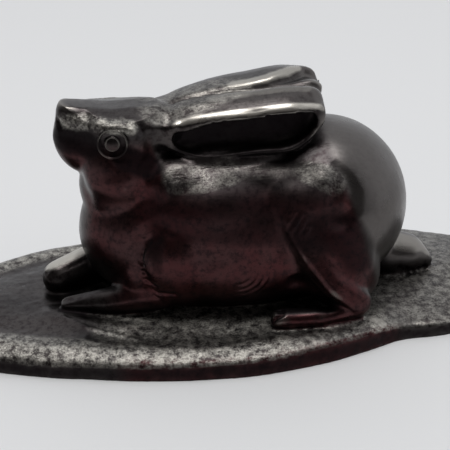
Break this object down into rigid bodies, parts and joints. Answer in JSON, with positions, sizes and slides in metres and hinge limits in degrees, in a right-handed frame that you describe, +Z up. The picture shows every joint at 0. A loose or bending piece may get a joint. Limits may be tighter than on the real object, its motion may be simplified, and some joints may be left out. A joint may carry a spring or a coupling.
{
  "type": "rabbit okimono",
  "caption": "Cast bronze ornament of a crouching rabbit with its ears laid back, in one piece with a long leaf-shaped base.",
  "frame": {"origin": "middle of the base's flat underside", "axes": "+X from the rabbit's nose towards its tail, along the base; +Y towards the rabbit's right; +Z up"},
  "size_m": [0.132, 0.05, 0.0446],
  "materials": {
    "bronze": "dark brown-black patina on cast bronze, satin to glossy, rubbed brighter on raised edges"
  },
  "bodies": {
    "root": {"rabbit_on_base": "bronze"}
  },
  "joints": []
}
